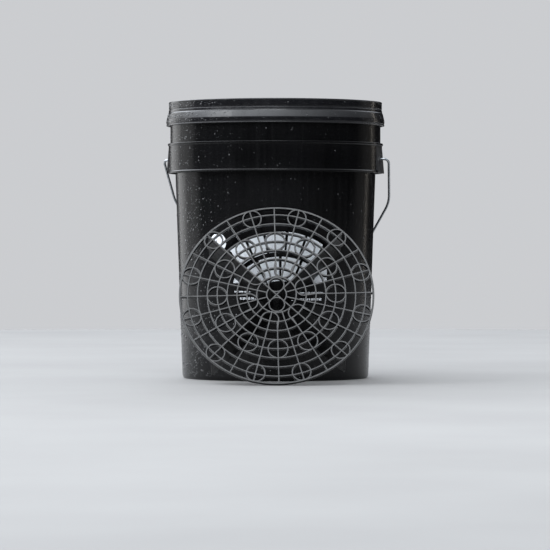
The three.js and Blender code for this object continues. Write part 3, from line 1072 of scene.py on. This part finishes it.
def mark_shapes():
    """Generic printed shapes: a fan of blocks in two rows, a disc, two corner blocks and rules."""
    rng = random.Random(MARK_SEED)
    centre = (6, 92)
    shapes = []
    for start, end in [(57, 70), (72, 84), (86, 100), (102, 114), (116, 129), (131, 140)]:
        shapes.append(fan_block(centre, 84, 112, start, end))
    for start, end in [(48, 66), (69, 88), (91, 112), (115, 136)]:
        shapes.append(fan_block(centre, 45, 78, start, end))
    shapes.append([(52, 134), (74, 134), (74, 158), (66, 158)])
    shapes.append([(-60, 134), (-42, 134), (-54, 152)])
    turns = [2 * math.pi * i / 28 for i in range(28)]
    shapes.append([(-83 + 13 * math.cos(a), 189 + 13 * math.sin(a)) for a in turns])
    shapes += rules(rng, -58, -24, 121.2, 123.2)
    shapes += rules(rng, 30, 68, 119.6, 121.6)
    shapes += rules(rng, -50, -24, 111.6, 114.6)
    shapes += rules(rng, 14, 66, 110.2, 113.2)
    return shapes


def make_mark(ink):
    """A skin of ink that follows the wall, cut into narrow columns so that it bends with it."""
    bm = bmesh.new()
    for shape in mark_shapes():
        flat = bmesh.new()
        flat.faces.new([flat.verts.new((x, 0, z)) for x, z in shape])
        low, high = min(x for x, _ in shape), max(x for x, _ in shape)
        x = math.floor(low / MARK_COLUMN) * MARK_COLUMN
        while x < high:
            geometry = [*flat.verts, *flat.edges, *flat.faces]
            bmesh.ops.bisect_plane(flat, geom=geometry, plane_co=(x, 0, 0), plane_no=(1, 0, 0))
            x += MARK_COLUMN
        mesh = bpy.data.meshes.new("mark_shape")
        flat.to_mesh(mesh)
        flat.free()
        bm.from_mesh(mesh)
        bpy.data.meshes.remove(mesh)
    bmesh.ops.recalc_face_normals(bm, faces=bm.faces)
    extruded = bmesh.ops.extrude_face_region(bm, geom=list(bm.faces))
    lifted = {v for v in extruded["geom"] if isinstance(v, bmesh.types.BMVert)}
    for vert in bm.verts:
        radius = wall_radius(vert.co.z) + (INK_PROUD if vert in lifted else -INK_SUNK)
        angle = vert.co.x / wall_radius(MARK_MIDDLE)
        vert.co = (radius * math.sin(angle), -radius * math.cos(angle), vert.co.z)
    obj = finished("printed_mark", bm)
    return dressed(obj, "bucket", "print_ink", ink)


def bead_angle(rng):
    """Most beads are on the left of the front, the rest all round."""
    if rng.random() < 0.6:
        return math.radians(rng.gauss(206, 17))
    return rng.uniform(0, 2 * math.pi)


def outside(height):
    """Radius and upward lean of the outside at a height, or None close to an edge."""
    if 4 < height < COLLAR_BOTTOM - 4:
        return wall_radius(height), 0
    if COLLAR_BOTTOM + 4.5 < height < COLLAR_WEB - 2.5:
        return COLLAR_RADIUS, 0
    if COLLAR_TOP + 3 < height < RING_BOTTOM - 2:
        return NECK_RADIUS, 0
    if RING_BOTTOM + 3.8 < height < RING_SHOULDER_BOTTOM - 0.9:
        return RING_RADIUS, 0
    if RING_SHOULDER_BOTTOM + 1.5 < height < RING_SHOULDER_TOP - 0.9:
        radius = RING_RADIUS - (height - RING_SHOULDER_BOTTOM) * RING_SHOULDER_SLOPE
        return radius, math.atan(RING_SHOULDER_SLOPE)
    if RING_TOP - 8.7 < height < RING_TOP - 2.8:
        return RING_CROWN_RADIUS, 0
    return None


def near_ear(angle, height):
    beside = abs(math.remainder(angle - BAIL_TURN, math.pi)) < EAR_CLEARANCE
    return beside and COLLAR_BOTTOM - 4 < height < COLLAR_TOP + 2


def bead_height(rng):
    pick = rng.random()
    if pick < 0.3:
        return rng.uniform(4, 90)
    if pick < 0.7:
        return rng.uniform(90, 350)
    return rng.uniform(355, 383)


def ball(subdivisions):
    """The points and the faces of a ball of radius 1."""
    bm = bmesh.new()
    bmesh.ops.create_icosphere(bm, subdivisions=subdivisions, radius=1)
    bm.verts.index_update()
    points = [vert.co.copy() for vert in bm.verts]
    faces = [[vert.index for vert in face.verts] for face in bm.faces]
    bm.free()
    return points, faces


def make_water_beads(material):
    """Small low drops that stand on the outside, each one flattened against it."""
    rng = random.Random(BEAD_SEED)
    coarse, fine = ball(1), ball(2)
    points, faces = [], []
    for _ in range(BEAD_COUNT):
        angle = bead_angle(rng)
        height = bead_height(rng)
        size = min(0.3 + rng.expovariate(4.5), 1.6)
        tall = rng.uniform(0.95, 1.35)
        where = outside(height)
        if where is None or near_ear(angle, height):
            continue
        if height > RING_BOTTOM:
            size = min(size, 1.1)
        radius, lean = where
        place = (
            Matrix.Rotation(angle, 4, "Z")
            @ Matrix.Translation((radius, 0, height))
            @ Matrix.Rotation(-lean, 4, "Y")
            @ Matrix.Diagonal((size * 0.62, size, size * tall, 1))
        )
        round_points, round_faces = coarse if size < 0.7 else fine
        start = len(points)
        points.extend(place @ point for point in round_points)
        faces.extend([start + i for i in face] for face in round_faces)
    beads = bpy.data.meshes.new("beads")
    beads.from_pydata(points, [], faces)
    bm = bmesh.new()
    bm.from_mesh(beads)
    bpy.data.meshes.remove(beads)
    obj = finished("water_beads", bm, sharp=math.pi)
    return dressed(obj, "bucket", "shell_plastic", material)


# ---------------------------------------------------------------- camera, floor and light


def make_camera():
    data = bpy.data.cameras.new("camera")
    data.lens = 205.5
    data.sensor_width = 36
    data.clip_end = 60
    camera = bpy.data.objects.new("camera", data)
    bpy.context.scene.collection.objects.link(camera)
    camera.location = (-0.0006, -4.4, 0.18)
    camera.rotation_euler = (math.pi / 2 - 0.0082, 0, 0)
    bpy.context.scene.camera = camera


def make_floor():
    bm = bmesh.new()
    bmesh.ops.create_circle(bm, cap_ends=True, segments=128, radius=FLOOR_RADIUS)
    floor = finished("studio_floor", bm)
    nodes = Nodes("studio_floor", (0.285, 0.281, 0.277), 0.7)
    nodes.colour(nodes.ramp(nodes.noise(3, 4), (0.3, (0.27, 0.266, 0.262)), (0.7, (0.3, 0.296, 0.292))))
    nodes.bump(nodes.noise(240, 4), 0.1, 0.001)
    floor.data.materials.append(nodes.material)


def make_world():
    """A soft sky, dark near the horizon and brightest half way up, more so on the left.

    Seen directly it is a plain backdrop.
    """
    world = bpy.data.worlds.new("studio")
    bpy.context.scene.world = world
    world.use_nodes = True
    tree = world.node_tree
    background = tree.nodes["Background"]
    place = tree.nodes.new("ShaderNodeTexCoord")
    split = tree.nodes.new("ShaderNodeSeparateXYZ")
    tree.links.new(place.outputs["Generated"], split.inputs["Vector"])
    sky = tree.nodes.new("ShaderNodeValToRGB")
    sky_stops = [
        (0.0, (0.014, 0.014, 0.016)),
        (0.24, (0.03, 0.031, 0.035)),
        (0.38, (1.8, 1.9, 2.05)),
        (0.56, (3.2, 3.35, 3.55)),
        (0.74, (1.3, 1.35, 1.42)),
        (0.95, (0.5, 0.52, 0.55)),
    ]
    set_stops(sky.color_ramp, sky_stops)
    tree.links.new(split.outputs["Z"], sky.inputs["Fac"])
    side = tree.nodes.new("ShaderNodeMapRange")
    side.inputs["From Min"].default_value = -1
    side.inputs["To Min"].default_value = 2.1
    side.inputs["To Max"].default_value = 0.2
    tree.links.new(split.outputs["X"], side.inputs["Value"])
    sided = tree.nodes.new("ShaderNodeVectorMath")
    sided.operation = "SCALE"
    tree.links.new(sky.outputs["Color"], sided.inputs[0])
    tree.links.new(side.outputs["Result"], sided.inputs["Scale"])
    path = tree.nodes.new("ShaderNodeLightPath")
    tint = tree.nodes.new("ShaderNodeMix")
    tint.data_type = "RGBA"
    tint.inputs[7].default_value = (0.6, 0.61, 0.63, 1)
    tree.links.new(path.outputs["Is Camera Ray"], tint.inputs[0])
    tree.links.new(sided.outputs["Vector"], tint.inputs[6])
    tree.links.new(tint.outputs[2], background.inputs["Color"])
    background.inputs["Strength"].default_value = 1.0


def soft_light(name, place, width, height, watts, colour):
    """A flat panel of light that faces the middle of the bucket."""
    data = bpy.data.lights.new(name, "AREA")
    data.shape = "RECTANGLE"
    data.size = width
    data.size_y = height
    data.energy = watts
    data.color = colour
    light = bpy.data.objects.new(name, data)
    bpy.context.scene.collection.objects.link(light)
    light.location = studio_place(*place)
    aim = Vector((0, 0, 0.2)) - light.location
    light.rotation_euler = aim.to_track_quat("-Z", "Y").to_euler()


def studio_place(azimuth, distance, height):
    """A place round the bucket in metres: azimuth 0 is straight in front and 90 to the left."""
    angle = math.radians(azimuth)
    return (-distance * math.sin(angle), -distance * math.cos(angle), height)


def make_lights():
    """Each light's place is its azimuth, distance and height."""
    soft_light("key_above_front", (6, 1.75, 2.35), 1.3, 0.9, 26, (0.93, 0.97, 1))
    soft_light("key_left", (62, 2.4, 1.55), 1.2, 0.8, 8, (0.96, 0.98, 1))
    soft_light("wide_left_behind", (137, 2.2, 0.5), 1.0, 1.3, 6, (0.98, 0.99, 1))
    soft_light("dim_left", (110, 2.2, 0.5), 0.9, 1.3, 3.0, (0.98, 0.99, 1))
    soft_light("strip_right_behind", (-128, 2.3, 0.6), 0.03, 1.2, 0.7, (1, 0.93, 0.84))
    soft_light("dim_right", (-112, 2.3, 0.5), 0.7, 1.2, 0.35, (1, 0.97, 0.93))


# ---------------------------------------------------------------- assembly

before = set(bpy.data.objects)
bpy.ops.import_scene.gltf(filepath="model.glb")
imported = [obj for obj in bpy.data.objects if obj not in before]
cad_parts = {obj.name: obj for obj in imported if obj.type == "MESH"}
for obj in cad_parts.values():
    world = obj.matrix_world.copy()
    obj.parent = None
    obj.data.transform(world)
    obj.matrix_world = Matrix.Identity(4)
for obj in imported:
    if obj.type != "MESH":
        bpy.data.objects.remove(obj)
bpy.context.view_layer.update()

make_camera()
make_floor()
make_world()
make_lights()

lid_look = lid_plastic()
rubber = seal_rubber()

shell_object = make_shell(shell_plastic())
mark_ears(shell_object, ear_plastic())
make_adapter_ring(lid_look)
make_lid(lid_look)
make_wire(galvanised_wire())
make_grip(grip_plastic())
make_guard(guard_plastic(), vane_plastic_painted_shade())
make_mark(print_ink())
make_water_beads(water())

for seal in ("ring_gasket", "lid_seal"):
    seal_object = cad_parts[seal]
    seal_object.data.materials.clear()
    seal_object.data.materials.append(rubber)

bpy.context.scene.view_settings.view_transform = "Standard"
